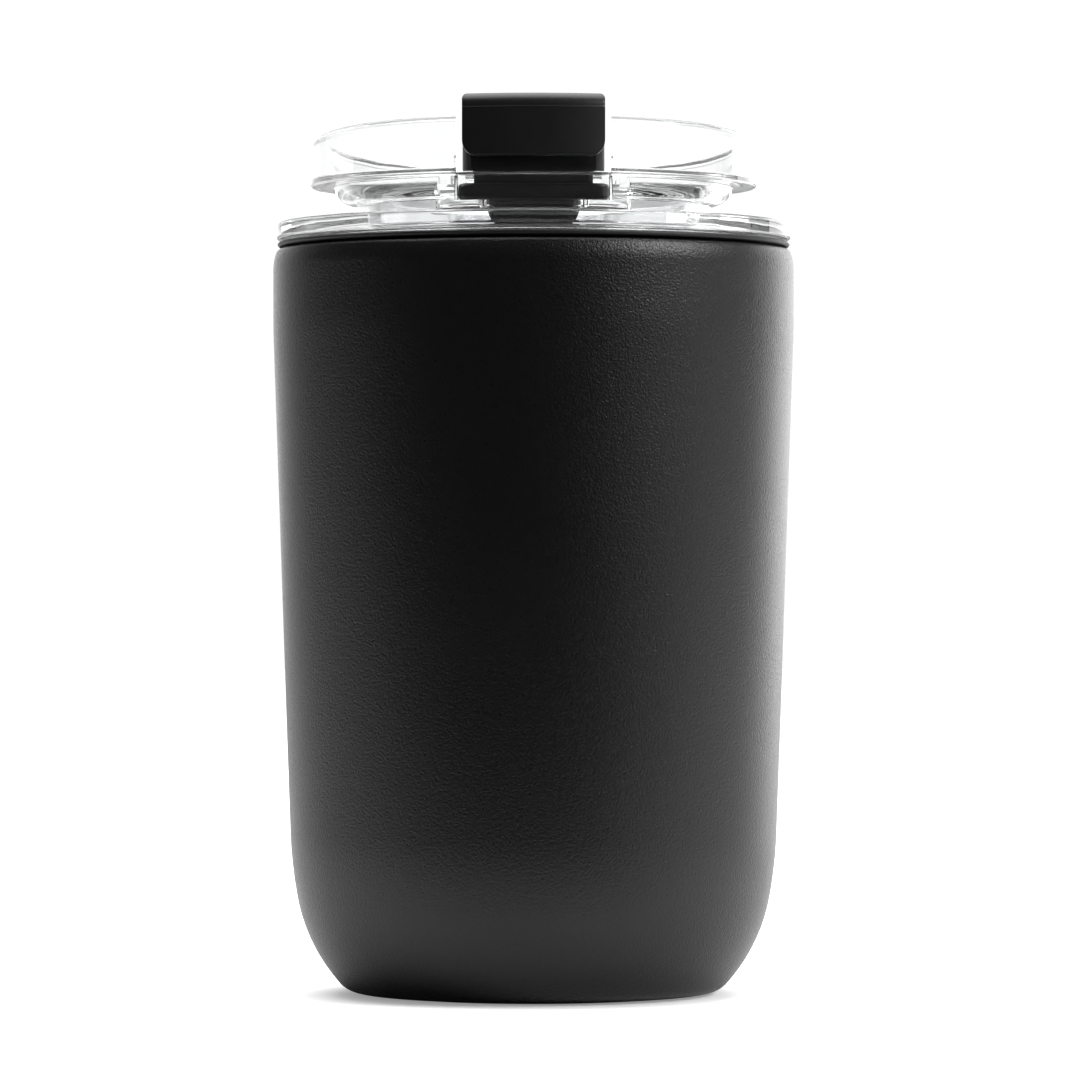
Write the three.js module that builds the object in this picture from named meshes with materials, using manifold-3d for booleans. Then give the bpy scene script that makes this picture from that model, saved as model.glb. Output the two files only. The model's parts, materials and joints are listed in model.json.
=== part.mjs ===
// Insulated travel mug: a double-wall vacuum cup with a clear press-in lid and a black flip lever.
// Millimetres, +Z up. The sip side faces -Y and the origin is the centre of the base.

import * as THREE from 'three';
import { mergeVertices } from 'three/addons/utils/BufferGeometryUtils.js';
import Module from 'manifold-3d';

const wasm = await Module();
wasm.setup();

// ---------------------------------------------------------------- driving dimensions

const GAP = 0.3; // between pieces that touch
const SEGMENTS = 40; // sides of every large round piece

// cup
const CUP_HEIGHT = 118.2;
const WALL = 0.6; // both steel walls
const RADIUS_WIDEST = 41.4;
const WIDEST_FROM = 106; // the shell is straight above this height
const SHELL_FOOT = 0.3; // the shell ends this high above the table, the pad stands on it
const SHELL_HOLE = 26.2; // radius of the opening in the shell's bottom
const FOOT_FLAT = 27.6; // the bottom of the shell is flat out to this radius
const RIM_INNER = 38.8;

// rounds that run into one another, given by the directions their outward normals turn through
const CORNER_ARCS = [
  { radius: 4.3, from: -90, to: -42, steps: 3 },
  { radius: 28, from: -42, to: -10.5, steps: 4 },
  { radius: 70, from: -10.5, to: -2, steps: 2 },
];
const SHOULDER_ARCS = [
  { radius: 8, from: 0, to: 19, steps: 2 },
  { radius: 1, from: 19, to: 90, steps: 3 },
];

// liner, measured on its outer face
const LINER_MOUTH = 38.5;
const LINER_STRAIGHT_FROM = 104;
const LINER_FOOT = 35.9;
const LINER_BOTTOM = 7;
const LINER_CORNER = 15;

// base
const PAD_RADIUS = 25;
const PAD_THICK = 1.2;
const PAN_RADIUS = SHELL_HOLE - GAP;
const PAN_THICK = 0.6;
const DISC_RADIUS = 31.2;
const DISC_BOTTOM = 3.6;
const DISC_THICK = 0.6;
const EVACUATION_HOLE = 1.3;
const GETTER_OFFSET = 12;

// lid
const FLANGE_RADIUS = 41;
const FLANGE_BOTTOM = 119.6;
const FLANGE_TOP = 122.4;
const SKIRT_BOTTOM = 108;
const SKIRT_RADIUS = 35;
const SKIRT_THICK = 1.6;
const SKIRT_LIP = 1.2;
const COLLAR_OUTER = 28.4;
const COLLAR_INNER = 26.4;
const WELL_UNDERSIDE = 125.2;
const WELL_FLOOR = 127;
const WELL_RADIUS = 31.6;
const RING_BOTTOM = 128;
const RING_TOP = 137.15; // at the front
const RIM_DROP = 3.95; // the rim is this much lower at the back
const RING_RADIUS = 35.6;
const RING_INNER = 33;
const RING_ROUND = 1.2;
const LEDGE_THICK = 1; // inside the foot of the ring
const SPIGOT_WALL = 1.6;
const SPIGOT_BOTTOM = 121;
const WELL_BOTTOM_ROUND = 1.6; // where the floor turns up to the ledge
const FLANGE_EDGE = 0.5;
const SEAL_RADIUS = 40.7;
const SEAL_RIBS = [110.4, 113, 115.6];

// sip pocket in the front of the lid
const POCKET_HALF = 11.9;
const POCKET_WALL = 2.5;
const POCKET_FRONT = 31.6; // inner radius of its curved front wall
const POCKET_FRONT_WALL = 1.8;
const POCKET_EDGE = 0.9; // round of its lower front edge
const NOTCH_SILL = 0.5; // height of the ring's foot left under the notch
const POCKET_BACK = -13.2;
const POCKET_BACK_WALL = 1.7;
const POCKET_FLOOR = 124.3;
const SIP_Y = -20.5; // centre of the sip hole
const SIP_HALF = 7.5;
const SIP_ROUND = 2.8;
const VENT_Y = -15.4;
const VENT_RADIUS = 0.8;

// flip lever
const PIVOT_Y = -5;
const PIVOT_Z = 130.2;
const PIN_RADIUS = 1;
const BARREL_RADIUS = 2.7;
const BARREL_HALF = 7.9;
const LUG_RADIUS = 2.9;
const LUG_THICK = 2.4;
const TAB_HALF = 11;
const TAB_RADIUS = 36; // the tab's front face follows the ring
const TAB_THICK = 1.8;
const TAB_TOP = 140.55;
const TAB_BOTTOM = 130.8;
const TAB_ROUND = 2.2; // top front edge
const TAB_CORNER_TOP = 0.8;
const TAB_CORNER_BOTTOM = 2.5;
const PLATE_THICK = 2.1;
const RAMP_FROM = -24.5; // the top of the lever slopes to the barrel from here
const BOSS_BOTTOM = 128.9; // at the front
const BOSS_RISE = 1.1; // the underside rises this much to the back
const BOSS_FRONT = -27.5;
const BOSS_BACK = -13.5;
const BOSS_WALL = 1.6;
const BOSS_CORNER = 1.5;
const WEB_HALF = 1.2; // rib between the boss and the barrel
const WEB_HALF_HEIGHT = 1; // where it meets the barrel
const PLUG_FLANGE_TOP = 127.1;
const PLUG_NECK_TOP = 131.6;
const PLUG_NECK_BOTTOM = 125.3; // inside the flange
const PLUG_NECK_CORNER = 0.8;
const PLUG_FLANGE_CORNER = 2;
const PLUG_TIP_DEPTH = 3.2; // below the pocket's floor
const PLUG_TIP_LAYERS = 4;
const STUD_HALF_X = 4; // peg on the lever that holds the stopper
const STUD_HALF_Y = 1.6;
const STUD_BOTTOM = 129.4;

// ---------------------------------------------------------------- materials

const finish = (color, roughness, metalness, opacity = 1) =>
  new THREE.MeshStandardMaterial({ color, roughness, metalness, opacity, transparent: opacity < 1 });

const POWDER_COAT = finish(0x18181a, 0.5, 0.2);
const STEEL = finish(0xb9bbbd, 0.32, 1);
const COPPER = finish(0xb87352, 0.3, 1);
const GETTER_GREY = finish(0x6e6d6a, 0.8, 0.4);
const SOLDER = finish(0x4d4f52, 0.4, 0.2);
const CLEAR = finish(0xf2f5f6, 0.05, 0, 0.35);
const BLACK_PLASTIC = finish(0x141415, 0.4, 0);
const SILICONE = finish(0x121213, 0.7, 0);

// ---------------------------------------------------------------- helpers

// Points of an arc in the (radius, height) plane, angles in degrees from the radius axis.
function arc(centreR, centreZ, radius, fromDeg, toDeg, steps) {
  const points = [];
  for (let i = 0; i <= steps; i += 1) {
    const angle = THREE.MathUtils.degToRad(fromDeg + ((toDeg - fromDeg) * i) / steps);
    points.push([centreR + radius * Math.cos(angle), centreZ + radius * Math.sin(angle)]);
  }
  return points;
}

// Points of a chain of arcs, each tangent to the one before, from a start point.
function arcChain(start, arcs) {
  const points = [start];
  for (const { radius, from, to, steps } of arcs) {
    const [r, z] = points[points.length - 1];
    const angle = THREE.MathUtils.degToRad(from);
    const centreR = r - radius * Math.cos(angle);
    const centreZ = z - radius * Math.sin(angle);
    points.push(...arc(centreR, centreZ, radius, from, to, steps).slice(1));
  }
  return points;
}

// The same path moved to its left by a distance, as a sheet's other face.
function offsetPath(path, distance) {
  const edgeNormal = (a, b) => {
    const length = Math.hypot(b[0] - a[0], b[1] - a[1]);
    return [-(b[1] - a[1]) / length, (b[0] - a[0]) / length];
  };
  return path.map((point, i) => {
    const before = edgeNormal(path[Math.max(i - 1, 0)], path[Math.max(i, 1)]);
    const last = path.length - 1;
    const after = edgeNormal(path[Math.min(i, last - 1)], path[Math.min(i + 1, last)]);
    const sum = [before[0] + after[0], before[1] + after[1]];
    const scale = distance / (1 + before[0] * after[0] + before[1] * after[1]);
    return [point[0] + sum[0] * scale, point[1] + sum[1] * scale];
  });
}

// A sheet of even thickness that lies to the left of the path.
const sheet = (path, thickness) => [...path, ...offsetPath(path, thickness).reverse()];

// Position-only copy of a geometry with merged vertices and no collapsed triangles.
function welded(geometry) {
  const bare = geometry.clone();
  bare.deleteAttribute('normal');
  bare.deleteAttribute('uv');
  const merged = mergeVertices(bare, 1e-4);
  const index = merged.getIndex().array;
  const kept = [];
  for (let i = 0; i < index.length; i += 3) {
    const [a, b, c] = [index[i], index[i + 1], index[i + 2]];
    if (a !== b && b !== c && c !== a) kept.push(a, b, c);
  }
  merged.setIndex(kept);
  return merged;
}

// Revolves a counter-clockwise (radius, height) outline about Z. One that starts and ends
// on the axis is left open there, any other is closed.
function revolve(outline, segments = SEGMENTS) {
  const points = outline.map(([r, z]) => new THREE.Vector2(r, z));
  if (outline[0][0] > 0) points.push(points[0].clone());
  return welded(new THREE.LatheGeometry(points, segments).rotateX(Math.PI / 2));
}

function shapeOf(outline, hole) {
  const shape = new THREE.Shape(outline.map(([x, y]) => new THREE.Vector2(x, y)));
  if (hole) shape.holes.push(new THREE.Path(hole.map(([x, y]) => new THREE.Vector2(x, y))));
  return shape;
}

// Prism of an outline in the (x, y) plane between two heights.
function prismZ(outline, bottom, top, hole) {
  const options = { depth: top - bottom, bevelEnabled: false };
  const geometry = new THREE.ExtrudeGeometry(shapeOf(outline, hole), options);
  return welded(geometry.translate(0, 0, bottom));
}

// Prism of an outline in the (y, z) plane between two values of x.
function prismX(outline, from, to, hole) {
  const options = { depth: to - from, bevelEnabled: false };
  const geometry = new THREE.ExtrudeGeometry(shapeOf(outline, hole), options);
  return welded(geometry.translate(0, 0, from).rotateX(Math.PI / 2).rotateZ(Math.PI / 2));
}

// Prism of an outline in the (x, z) plane between two values of y.
function prismY(outline, from, to) {
  const options = { depth: to - from, bevelEnabled: false };
  const geometry = new THREE.ExtrudeGeometry(shapeOf(outline), options);
  return welded(geometry.rotateX(Math.PI / 2).translate(0, to, 0));
}

function box(x0, x1, y0, y1, z0, z1) {
  const geometry = new THREE.BoxGeometry(x1 - x0, y1 - y0, z1 - z0);
  return welded(geometry.translate((x0 + x1) / 2, (y0 + y1) / 2, (z0 + z1) / 2));
}

// Outline of a rectangle with round corners, about a centre.
function roundedBox(halfX, halfY, radius, centreX, centreY, steps = 4) {
  const corner = (sideX, sideY, start) => {
    const x = centreX + sideX * (halfX - radius);
    const y = centreY + sideY * (halfY - radius);
    return arc(x, y, radius, start, start + 90, steps);
  };
  return [...corner(1, 1, 0), ...corner(-1, 1, 90), ...corner(-1, -1, 180), ...corner(1, -1, 270)];
}

function solid(geometry) {
  const vertProperties = new Float32Array(geometry.getAttribute('position').array);
  const triVerts = new Uint32Array(geometry.getIndex().array);
  return new wasm.Manifold(new wasm.Mesh({ numProp: 3, vertProperties, triVerts }));
}

function geometryOf(manifold) {
  const { vertProperties, triVerts } = manifold.getMesh();
  const geometry = new THREE.BufferGeometry();
  geometry.setAttribute('position', new THREE.BufferAttribute(vertProperties, 3));
  geometry.setIndex(new THREE.BufferAttribute(triVerts, 1));
  geometry.computeVertexNormals();
  return geometry;
}

const mug = new THREE.Group();

function addPiece(name, geometry, material, parent = mug) {
  if (!geometry.getAttribute('normal')) geometry.computeVertexNormals();
  const mesh = new THREE.Mesh(geometry, material);
  mesh.name = name;
  parent.add(mesh);
  return mesh;
}

// ---------------------------------------------------------------- cup

// Outer face of the shell, from the opening in its bottom up to the inner edge of the rim.
function shellPath() {
  const corner = arcChain([FOOT_FLAT, SHELL_FOOT], CORNER_ARCS);
  const rise = arcChain([0, 0], SHOULDER_ARCS).at(-1)[1];
  const shoulder = arcChain([RADIUS_WIDEST, CUP_HEIGHT - rise], SHOULDER_ARCS);
  return [
    [SHELL_HOLE, SHELL_FOOT],
    ...corner,
    [RADIUS_WIDEST, WIDEST_FROM],
    ...shoulder,
    [RIM_INNER, CUP_HEIGHT],
  ];
}

const outerShell = () => revolve(sheet(shellPath(), WALL));

// The liner ends just below the rolled rim, where the two walls are welded.
function innerVessel() {
  const outside = [
    [0, LINER_BOTTOM],
    ...arc(LINER_FOOT - LINER_CORNER, LINER_BOTTOM + LINER_CORNER, LINER_CORNER, -90, 0, 5),
    [LINER_MOUTH, LINER_STRAIGHT_FROM],
    [LINER_MOUTH, CUP_HEIGHT],
  ];
  const inside = offsetPath(outside, WALL).reverse();
  return revolve([...outside, ...inside.slice(0, -1), [0, LINER_BOTTOM + WALL]]);
}

function foilShield() {
  const thick = 0.2;
  const clearance = 0.6;
  const bottom = LINER_BOTTOM + LINER_CORNER;
  return revolve([
    [LINER_FOOT + clearance, bottom],
    [LINER_FOOT + clearance + thick, bottom],
    [LINER_MOUTH + clearance + thick, LINER_STRAIGHT_FROM],
    [LINER_MOUTH + clearance, LINER_STRAIGHT_FROM],
  ]);
}

function vacuumBottom() {
  const top = DISC_BOTTOM + DISC_THICK;
  return revolve([
    [EVACUATION_HOLE, DISC_BOTTOM],
    [DISC_RADIUS, DISC_BOTTOM],
    [DISC_RADIUS, top],
    [EVACUATION_HOLE, top],
  ]);
}

// A drop of solder glass: a domed head below the disc and a stem in its hole.
function solderBead() {
  const headRadius = 2.4;
  const headHeight = 0.7;
  const faceRadius = 1.7; // the dome turns down steeply beyond this radius
  const edgeHeight = 0.5;
  const headTop = DISC_BOTTOM - GAP;
  const stem = EVACUATION_HOLE - GAP;
  return revolve(
    [
      [0, headTop - headHeight],
      [faceRadius, headTop - edgeHeight],
      [headRadius, headTop],
      [stem, headTop],
      [stem, DISC_BOTTOM + DISC_THICK],
      [0, DISC_BOTTOM + DISC_THICK],
    ],
    20,
  );
}

const CLIP_BOTTOM = DISC_BOTTOM + DISC_THICK + GAP;
const CLIP_SHEET = 0.3;
const GETTER_RADIUS = 3.8;

// Shallow steel cup that holds the getter on the disc.
function getterClip() {
  const radius = GETTER_RADIUS + GAP + CLIP_SHEET;
  const height = 1.5;
  const rim = CLIP_BOTTOM + height;
  return revolve(
    [
      [0, CLIP_BOTTOM],
      [radius, CLIP_BOTTOM],
      [radius, rim],
      [radius - CLIP_SHEET, rim],
      [radius - CLIP_SHEET, CLIP_BOTTOM + CLIP_SHEET],
      [0, CLIP_BOTTOM + CLIP_SHEET],
    ],
    24,
  );
}

function getterPellet() {
  const thick = 1.2;
  const bottom = CLIP_BOTTOM + CLIP_SHEET + GAP;
  const top = bottom + thick;
  return revolve([[0, bottom], [GETTER_RADIUS, bottom], [GETTER_RADIUS, top], [0, top]], 24);
}

// Shallow pan that closes the opening in the shell, with its rim turned down.
function baseCover() {
  const bottom = PAD_THICK + GAP;
  const rimInner = PAN_RADIUS - PAN_THICK;
  return revolve([
    [0, bottom],
    [rimInner, bottom],
    [rimInner, SHELL_FOOT + GAP],
    [PAN_RADIUS, SHELL_FOOT + GAP],
    [PAN_RADIUS, bottom + PAN_THICK],
    [0, bottom + PAN_THICK],
  ]);
}

function basePad() {
  const round = 0.4;
  return revolve([
    [0, 0],
    [PAD_RADIUS - round, 0],
    [PAD_RADIUS, round],
    [PAD_RADIUS, PAD_THICK],
    [0, PAD_THICK],
  ]);
}

// ---------------------------------------------------------------- lid

const COLLAR_TOP = WELL_UNDERSIDE - GAP;
const POCKET_UNDERSIDE = FLANGE_TOP + GAP;

// Flange on the rim, skirt down into the mouth and a collar for the upper part.
function lidBase() {
  const skirtInner = SKIRT_RADIUS - SKIRT_THICK;
  const edge = FLANGE_EDGE;
  const lipThick = 0.7;
  const recess = 0.4; // inside the skirt the flange is thinner by this
  const ceiling = FLANGE_BOTTOM + recess;
  const outline = [
    [skirtInner, SKIRT_BOTTOM],
    [SKIRT_RADIUS + SKIRT_LIP, SKIRT_BOTTOM],
    [SKIRT_RADIUS + SKIRT_LIP, SKIRT_BOTTOM + lipThick],
    [SKIRT_RADIUS, SKIRT_BOTTOM + lipThick],
    [SKIRT_RADIUS, FLANGE_BOTTOM],
    [FLANGE_RADIUS - edge, FLANGE_BOTTOM],
    [FLANGE_RADIUS, FLANGE_BOTTOM + edge],
    [FLANGE_RADIUS, FLANGE_TOP - edge],
    [FLANGE_RADIUS - edge, FLANGE_TOP],
    [COLLAR_OUTER, FLANGE_TOP],
    [COLLAR_OUTER, COLLAR_TOP],
    [COLLAR_INNER, COLLAR_TOP],
    [COLLAR_INNER, ceiling],
    [skirtInner, ceiling],
  ];
  const half = POCKET_HALF + POCKET_WALL + GAP;
  const pocketWay = box(-half, half, -COLLAR_OUTER - 1, POCKET_BACK, FLANGE_TOP, COLLAR_TOP + 1);
  return geometryOf(solid(revolve(outline)).subtract(solid(pocketWay)));
}

// Black ring between flange and rim, with a sleeve on the skirt and ribs that wipe the mouth.
function lidSeal() {
  const inner = SKIRT_RADIUS + GAP;
  const sleeveThick = 1.1;
  const sleeve = inner + sleeveThick;
  const sleeveBottom = SKIRT_BOTTOM + 1;
  const ribTip = LINER_MOUTH - WALL - GAP;
  const top = FLANGE_BOTTOM - GAP;
  const bandBottom = CUP_HEIGHT + GAP;
  const ribHalf = 0.55;
  const ribs = SEAL_RIBS.flatMap((z) => [[sleeve, z - ribHalf], [ribTip, z], [sleeve, z + ribHalf]]);
  return revolve([
    [inner, sleeveBottom],
    [sleeve, sleeveBottom],
    ...ribs,
    [sleeve, bandBottom],
    [SEAL_RADIUS, bandBottom],
    [SEAL_RADIUS, top],
    [inner, top],
  ]);
}

const WELL_INNER = WELL_RADIUS - 2.1;

// Drinking ring, well and spigot, turned about the lid's axis.
function wellAndRing() {
  const spigotOuter = COLLAR_INNER - GAP;
  const spigotInner = spigotOuter - SPIGOT_WALL;
  const turn = RING_BOTTOM - WELL_UNDERSIDE;
  const step = RING_BOTTOM + LEDGE_THICK;
  const round = WELL_BOTTOM_ROUND;
  const edge = 0.5;
  return [
    [0, WELL_UNDERSIDE],
    [spigotInner, WELL_UNDERSIDE],
    [spigotInner, SPIGOT_BOTTOM],
    [spigotOuter, SPIGOT_BOTTOM],
    [spigotOuter, WELL_UNDERSIDE],
    ...arc(WELL_RADIUS - turn, RING_BOTTOM, turn, -90, 0, 3),
    [RING_RADIUS, RING_BOTTOM],
    ...arc(RING_RADIUS - RING_ROUND, RING_TOP - RING_ROUND, RING_ROUND, 0, 90, 3),
    [RING_INNER + edge, RING_TOP],
    [RING_INNER, RING_TOP - edge],
    [RING_INNER, step],
    [WELL_INNER, step],
    ...arc(WELL_INNER - round, WELL_FLOOR + round, round, 0, -90, 2),
    [0, WELL_FLOOR],
  ];
}

// The same with the rim lower at the back: its upper edge moves down and keeps its rounds.
function slantedRing() {
  const geometry = revolve(wellAndRing());
  const position = geometry.getAttribute('position');
  const middle = (RING_BOTTOM + RING_TOP) / 2;
  for (let i = 0; i < position.count; i += 1) {
    const z = position.getZ(i);
    const part = THREE.MathUtils.smoothstep(position.getY(i), -RING_RADIUS, RING_RADIUS);
    if (z > middle) position.setZ(i, z - RIM_DROP * part);
  }
  return geometry;
}

// Circle about the hinge's axis in the (y, z) plane.
const aroundPivot = (radius) => arc(PIVOT_Y, PIVOT_Z, radius, 0, 345, 23);

// Outline in the (y, z) plane of one hinge lug, which stands on the well's floor.
function lugOutline() {
  const sunk = 0.5;
  const footHalf = LUG_RADIUS + 0.6;
  return [
    [PIVOT_Y - footHalf, WELL_FLOOR - sunk],
    [PIVOT_Y + footHalf, WELL_FLOOR - sunk],
    ...arc(PIVOT_Y, PIVOT_Z, LUG_RADIUS, 0, 180, 8),
  ];
}

function pocketBlock() {
  const half = POCKET_HALF + POCKET_WALL;
  const radius = POCKET_FRONT + POCKET_FRONT_WALL;
  const back = POCKET_BACK + POCKET_BACK_WALL;
  const top = RING_BOTTOM + 0.2; // just inside the ring
  const drum = solid(revolve([
    [0, POCKET_UNDERSIDE],
    ...arc(radius - POCKET_EDGE, POCKET_UNDERSIDE + POCKET_EDGE, POCKET_EDGE, -90, 0, 2),
    [radius, top],
    [0, top],
  ]));
  return drum.intersect(solid(box(-half, half, -radius - 1, back, POCKET_UNDERSIDE - 1, RING_TOP)));
}

function pocketSpace() {
  const above = RING_TOP + 1;
  const drum = solid(revolve([
    [0, POCKET_FLOOR],
    [POCKET_FRONT, POCKET_FLOOR],
    [POCKET_FRONT, above],
    [0, above],
  ]));
  const sides = box(-POCKET_HALF, POCKET_HALF, -RING_RADIUS, POCKET_BACK, POCKET_FLOOR - 1, above + 1);
  return drum.intersect(solid(sides));
}

// Space over the flat part of the well's floor, which keeps the pocket's walls level with it.
function wellSpace() {
  const radius = WELL_INNER - WELL_BOTTOM_ROUND;
  return solid(revolve([[0, WELL_FLOOR], [radius, WELL_FLOOR], [radius, RING_TOP], [0, RING_TOP]]));
}

function lidTop() {
  const sill = RING_BOTTOM + NOTCH_SILL;
  const notch = box(-POCKET_HALF, POCKET_HALF, -RING_RADIUS - 1, SIP_Y, sill, RING_TOP + 1);
  const sipOutline = roundedBox(SIP_HALF, SIP_ROUND, SIP_ROUND - 0.01, 0, SIP_Y);
  const sipHole = prismZ(sipOutline, SPIGOT_BOTTOM, WELL_FLOOR);
  const vent = new THREE.CylinderGeometry(VENT_RADIUS, VENT_RADIUS, 10, 12).rotateX(Math.PI / 2);
  const pinHole = aroundPivot(PIN_RADIUS + GAP);
  const lugInner = BARREL_HALF + GAP;
  const lugAt = (x) => solid(prismX(lugOutline(), x, x + LUG_THICK, pinHole));
  return geometryOf(
    solid(slantedRing())
      .add(pocketBlock())
      .subtract(wellSpace())
      .subtract(pocketSpace())
      .subtract(solid(notch))
      .subtract(solid(sipHole))
      .subtract(solid(welded(vent.translate(0, VENT_Y, POCKET_FLOOR))))
      .add(lugAt(-lugInner - LUG_THICK))
      .add(lugAt(lugInner)),
  );
}

// ---------------------------------------------------------------- flip lever

// Height of the lever's top face at a place along y.
function topAt(y) {
  const barrelTop = PIVOT_Z + BARREL_RADIUS;
  if (y <= RAMP_FROM) return TAB_TOP;
  return THREE.MathUtils.mapLinear(y, RAMP_FROM, PIVOT_Y, TAB_TOP, barrelTop);
}

// Front tab and the plate behind it: a turned cap, cut to the tab's rounded front outline.
function leverHead() {
  const plateBottom = TAB_TOP - PLATE_THICK;
  const cap = revolve([
    [0, plateBottom],
    [TAB_RADIUS - TAB_THICK, plateBottom],
    [TAB_RADIUS - TAB_THICK, TAB_BOTTOM],
    [TAB_RADIUS, TAB_BOTTOM],
    ...arc(TAB_RADIUS - TAB_ROUND, TAB_TOP - TAB_ROUND, TAB_ROUND, 0, 90, 3),
    [0, TAB_TOP],
  ], 120);
  const low = TAB_CORNER_BOTTOM;
  const high = TAB_CORNER_TOP;
  const front = [
    ...arc(TAB_HALF - low, TAB_BOTTOM + low, low, -90, 0, 4),
    ...arc(TAB_HALF - high, TAB_TOP - high, high, 0, 90, 2),
    ...arc(high - TAB_HALF, TAB_TOP - high, high, 90, 180, 2),
    ...arc(low - TAB_HALF, TAB_BOTTOM + low, low, 180, 270, 4),
  ];
  return solid(cap).intersect(solid(prismY(front, -TAB_RADIUS - 1, RAMP_FROM)));
}

// Sloping plate from the head back to the barrel, as wide as the boss and then the barrel.
function leverRamp() {
  const slab = (from, to) => [
    [from, topAt(from) - PLATE_THICK],
    [to, topAt(to) - PLATE_THICK],
    [to, topAt(to)],
    [from, topAt(from)],
  ];
  const wide = prismX(slab(RAMP_FROM - 0.01, BOSS_BACK), -TAB_HALF, TAB_HALF);
  const narrow = prismX(slab(BOSS_BACK - 0.01, PIVOT_Y), -BARREL_HALF, BARREL_HALF);
  return solid(wide).add(solid(narrow));
}

// Box-like boss under the plate, open below, that holds the stopper's neck.
function leverBoss() {
  const midY = (BOSS_FRONT + BOSS_BACK) / 2;
  const halfY = (BOSS_BACK - BOSS_FRONT) / 2;
  const outer = prismZ(roundedBox(TAB_HALF, halfY, BOSS_CORNER, 0, midY), BOSS_BOTTOM, TAB_TOP);
  const innerX = TAB_HALF - BOSS_WALL;
  const inner = roundedBox(innerX, halfY - BOSS_WALL, PLUG_NECK_CORNER, 0, midY, 2);
  const ceiling = TAB_TOP - PLATE_THICK;
  const under = [
    [BOSS_FRONT, BOSS_BOTTOM],
    [BOSS_BACK, BOSS_BOTTOM + BOSS_RISE],
    [BOSS_BACK + 1, BOSS_BOTTOM + BOSS_RISE],
    [BOSS_BACK + 1, topAt(BOSS_BACK + 1) - PLATE_THICK / 2],
    [RAMP_FROM, ceiling + PLATE_THICK / 2],
    [BOSS_FRONT, ceiling + PLATE_THICK / 2],
  ];
  return solid(outer)
    .subtract(solid(prismZ(inner, BOSS_BOTTOM - 1, TAB_TOP + 1)))
    .intersect(solid(prismX(under, -TAB_HALF - 1, TAB_HALF + 1)));
}

function flipLever() {
  const studTop = topAt(SIP_Y) - PLATE_THICK / 2;
  const stud = box(
    -STUD_HALF_X, STUD_HALF_X, SIP_Y - STUD_HALF_Y, SIP_Y + STUD_HALF_Y, STUD_BOTTOM, studTop,
  );
  const barrel = prismX(aroundPivot(BARREL_RADIUS), -BARREL_HALF, BARREL_HALF);
  const webFrom = BOSS_BACK - BOSS_WALL / 3; // inside the boss's back wall
  const webOutline = [
    [webFrom, BOSS_BOTTOM + BOSS_RISE],
    [PIVOT_Y, PIVOT_Z - WEB_HALF_HEIGHT],
    [PIVOT_Y, PIVOT_Z + WEB_HALF_HEIGHT],
    [webFrom, topAt(BOSS_BACK) - PLATE_THICK / 2],
  ];
  const web = prismX(webOutline, -WEB_HALF, WEB_HALF);
  const bore = prismX(aroundPivot(PIN_RADIUS + GAP), -BARREL_HALF - 1, BARREL_HALF + 1);
  return geometryOf(
    leverHead()
      .add(leverRamp())
      .add(leverBoss())
      .add(solid(stud))
      .add(solid(barrel))
      .add(solid(web))
      .subtract(solid(bore)),
  );
}

function hingePin() {
  const half = BARREL_HALF + LUG_THICK;
  return prismX(aroundPivot(PIN_RADIUS), -half, half);
}

// Silicone stopper: neck in the boss, wide flange on the pocket's floor, tapered tip in the hole.
// The tip narrows towards its end and to the back, so it swings out of the hole on the lever.
function sipPlug() {
  const midY = (BOSS_FRONT + BOSS_BACK) / 2;
  const neckHalfX = TAB_HALF - BOSS_WALL - GAP;
  const neckHalfY = (BOSS_BACK - BOSS_FRONT) / 2 - BOSS_WALL - GAP;
  const neckOutline = roundedBox(neckHalfX, neckHalfY, PLUG_NECK_CORNER, 0, midY);
  const neck = prismZ(neckOutline, PLUG_NECK_BOTTOM, PLUG_NECK_TOP);
  const flangeHalfX = POCKET_HALF - GAP;
  const flangeHalfY = (BOSS_BACK - BOSS_FRONT) / 2;
  const flangeOutline = roundedBox(flangeHalfX, flangeHalfY, PLUG_FLANGE_CORNER, 0, midY);
  const flangeBottom = POCKET_FLOOR + GAP;
  const flange = prismZ(flangeOutline, flangeBottom, PLUG_FLANGE_TOP);
  const socket = box(
    -STUD_HALF_X - GAP,
    STUD_HALF_X + GAP,
    SIP_Y - STUD_HALF_Y - GAP,
    SIP_Y + STUD_HALF_Y + GAP,
    STUD_BOTTOM - GAP,
    PLUG_NECK_TOP + 1,
  );
  let plug = solid(neck).add(solid(flange)).subtract(solid(socket));
  const taperX = 1.6;
  const taperY = 0.5; // part of the width lost at the tip's end
  const lean = 0.9; // the back stays nearly straight
  for (let layer = 1; layer <= PLUG_TIP_LAYERS; layer += 1) {
    const down = layer / PLUG_TIP_LAYERS;
    const halfY = (SIP_ROUND - GAP) * (1 - taperY * down);
    const halfX = SIP_HALF - GAP - taperX * down;
    const centreY = SIP_Y + (SIP_ROUND - GAP - halfY) * lean;
    const outline = roundedBox(halfX, halfY, halfY - 0.01, 0, centreY);
    const bottom = POCKET_FLOOR - PLUG_TIP_DEPTH * down;
    plug = plug.add(solid(prismZ(outline, bottom, (flangeBottom + PLUG_FLANGE_TOP) / 2)));
  }
  return geometryOf(plug);
}

// ---------------------------------------------------------------- assembly

addPiece('outer_shell', outerShell(), POWDER_COAT);
addPiece('inner_vessel', innerVessel(), STEEL);
addPiece('foil_shield', foilShield(), COPPER);
addPiece('vacuum_bottom', vacuumBottom(), STEEL);
addPiece('solder_bead', solderBead(), SOLDER);
addPiece('base_cover', baseCover(), POWDER_COAT);
addPiece('base_pad', basePad(), SILICONE);

const getter = new THREE.Group();
getter.position.y = GETTER_OFFSET;
mug.add(getter);
addPiece('getter_clip', getterClip(), STEEL, getter);
addPiece('getter_pellet', getterPellet(), GETTER_GREY, getter);

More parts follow.
